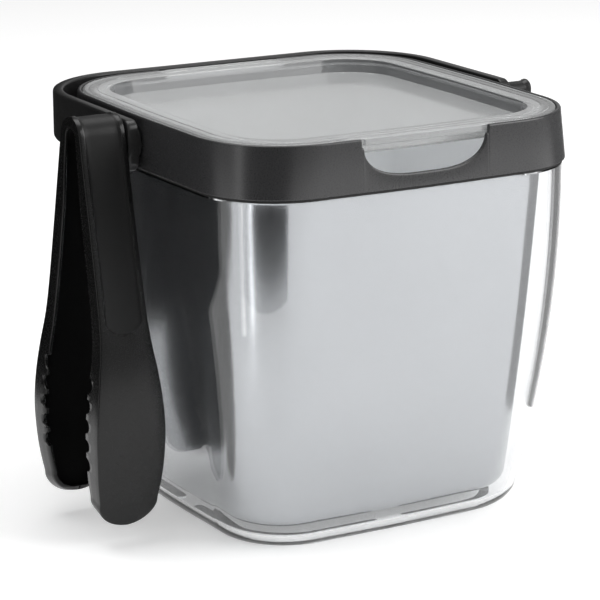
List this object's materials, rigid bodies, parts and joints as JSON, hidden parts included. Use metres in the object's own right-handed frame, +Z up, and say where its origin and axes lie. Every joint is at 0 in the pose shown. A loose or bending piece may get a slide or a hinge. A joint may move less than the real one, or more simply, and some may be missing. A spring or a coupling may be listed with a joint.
{
  "type": "ice bucket",
  "caption": "Double-walled ice bucket with clear outer shell, brushed liner, black rim collar, lift-off lid, folding bail handle and tongs hung on a side post.",
  "frame": {"origin": "centre of the footprint, on the surface that the bucket stands on", "axes": "+Z up, -Y towards the finger notch, -X towards the post that holds the tongs; handle pivots lie along X"},
  "size_m": [0.2405, 0.1942, 0.1856],
  "materials": {
    "shell": "clear gloss acrylic",
    "liner": "satin brushed",
    "collar": "satin black",
    "gasket": "matt black",
    "foot": "clear soft",
    "lid": "smoke translucent",
    "tray": "translucent grey",
    "handle": "satin black",
    "post": "satin black",
    "washer": "matt black",
    "screw": "satin",
    "tongs": "fine textured satin black"
  },
  "bodies": {
    "bucket": {"outer_shell": "shell", "inner_liner": "liner", "rim_collar": "collar", "rim_gasket": "gasket", "base_foot_front_left": "foot", "base_foot_front_right": "foot", "base_foot_rear_left": "foot", "base_foot_rear_right": "foot", "base_foot_centre": "foot", "hanger_post_left": "post", "spacer_washer_left": "washer", "hanger_post_right": "post", "spacer_washer_right": "washer", "post_screws": "screw"},
    "handle": {"bail_handle": "handle"},
    "lid": {"lid": "lid"},
    "tray": {"drain_tray": "tray"},
    "tongs": {"tong_bow": "tongs"},
    "front_arm": {"tong_arm_front": "tongs"},
    "rear_arm": {"tong_arm_rear": "tongs"}
  },
  "joints": [
    {"name": "handle_swing", "type": "hinge", "parent": "bucket", "child": "handle", "pos_m": [0, 0, 0.17175], "axis": [1, 0, 0], "range_deg": [0, 180]},
    {"name": "lid_lift", "type": "slide", "parent": "bucket", "child": "lid", "axis": [0, 0, 1], "range_m": [0, 0.06]},
    {"name": "tray_lift", "type": "slide", "parent": "bucket", "child": "tray", "axis": [0, 0, 1], "range_m": [0, 0.12]},
    {"name": "tongs_unhook", "type": "slide", "parent": "bucket", "child": "tongs", "axis": [-0.5, 0, 0.866], "range_m": [0, 0.2]},
    {"name": "tong_squeeze", "type": "hinge", "parent": "tongs", "child": "front_arm", "pos_m": [-0.1095, 0, 0.1758], "axis": [1, 0, 0], "range_deg": [0, 6.7], "stiffness_Nm_per_rad": 1.2},
    {"name": "tong_squeeze_rear", "type": "hinge", "parent": "tongs", "child": "rear_arm", "pos_m": [-0.1095, 0, 0.1758], "axis": [1, 0, 0], "range_deg": [-6.7, 0], "stiffness_Nm_per_rad": 1.2}
  ],
  "couplings": [
    {"joint": "tong_squeeze_rear", "follows": "tong_squeeze", "ratio": -1}
  ]
}
